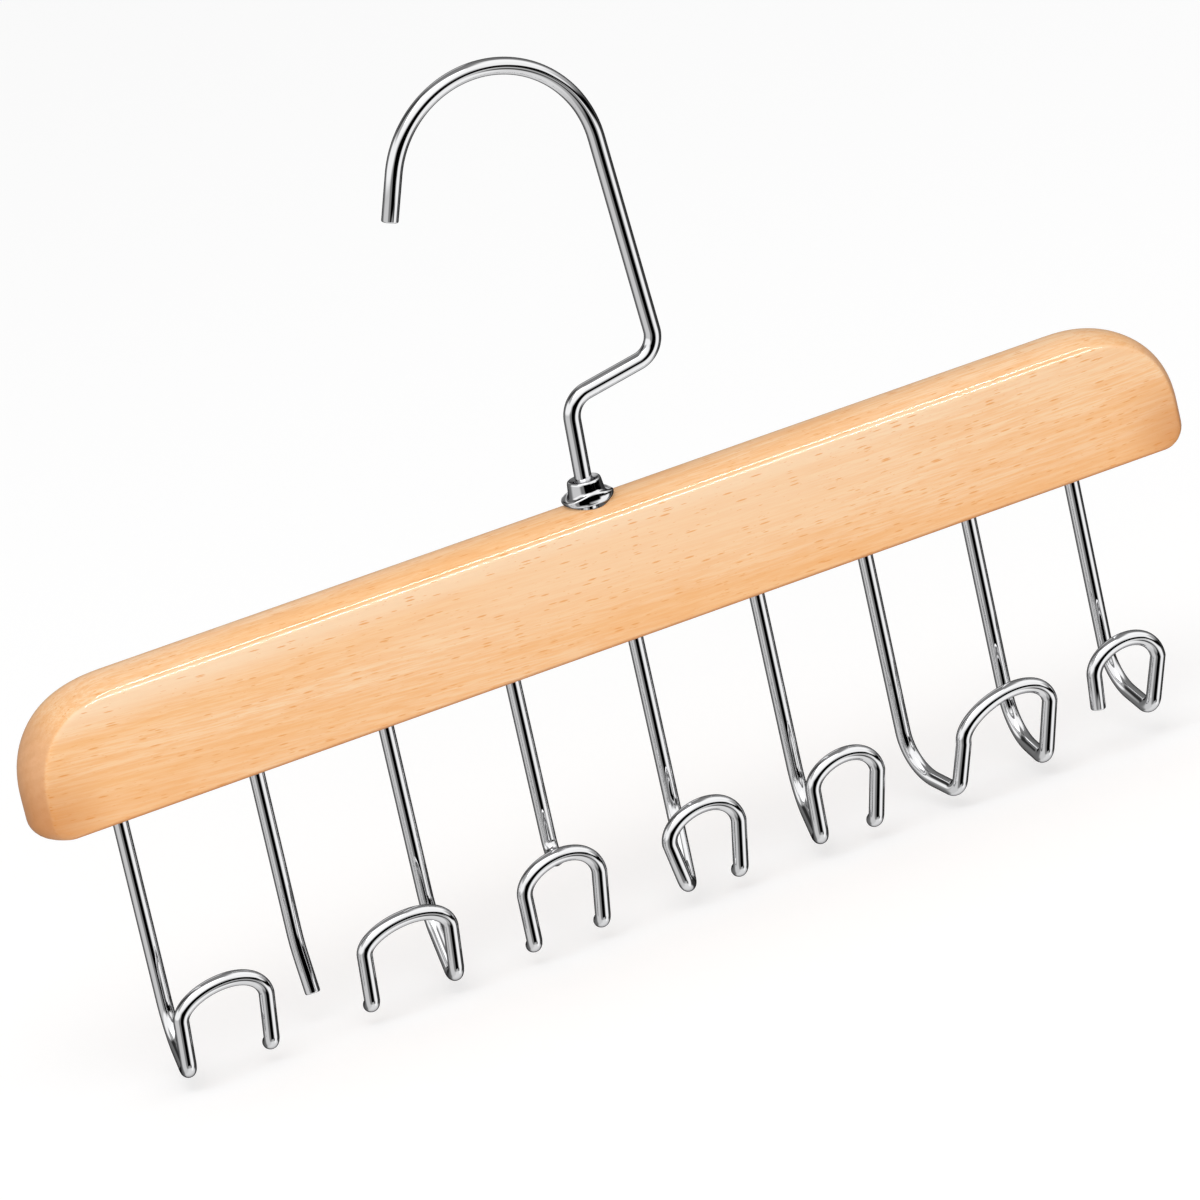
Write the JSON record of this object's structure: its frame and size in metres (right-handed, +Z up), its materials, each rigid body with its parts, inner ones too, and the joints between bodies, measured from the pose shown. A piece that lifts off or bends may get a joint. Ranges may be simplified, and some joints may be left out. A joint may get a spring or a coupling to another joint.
{
  "type": "multi-hook hanger",
  "caption": "Wooden bar hanger on a swivelling wire hook, with a row of bent wire hooks below for belts, ties and scarves.",
  "frame": {"origin": "rail seat: the lowest line of the top hook's crown wire, at the middle of the wire, where a rail carries the hanger", "axes": "+X along the wooden bar, towards the side where the top hook's straight back stands; -Y towards the front, where the wire hooks reach; +Z up"},
  "size_m": [0.317, 0.0295, 0.2164],
  "materials": {
    "beech": "satin lacquer over light beech",
    "chrome": "polished chrome plating",
    "zinc_steel": "plain zinc plating"
  },
  "bodies": {
    "hook": {"swivel_hook": "chrome"},
    "hanger": {"wooden_bar": "beech", "ferrule": "chrome", "anchor_sleeve": "zinc_steel", "thrust_washer": "zinc_steel", "wire_hook_1": "chrome", "wire_peg_2": "chrome", "wire_hook_3": "chrome", "wire_post_4": "chrome", "wire_loop_4": "chrome", "wire_hook_5": "chrome", "wire_hook_6": "chrome", "wire_hook_7_8": "chrome", "wire_hook_9": "chrome"}
  },
  "joints": [
    {"name": "bar_swivel", "type": "hinge", "parent": "hook", "child": "hanger", "pos_m": [0.0036, 0, -0.1112], "axis": [0, 0, 1], "continuous": true}
  ]
}
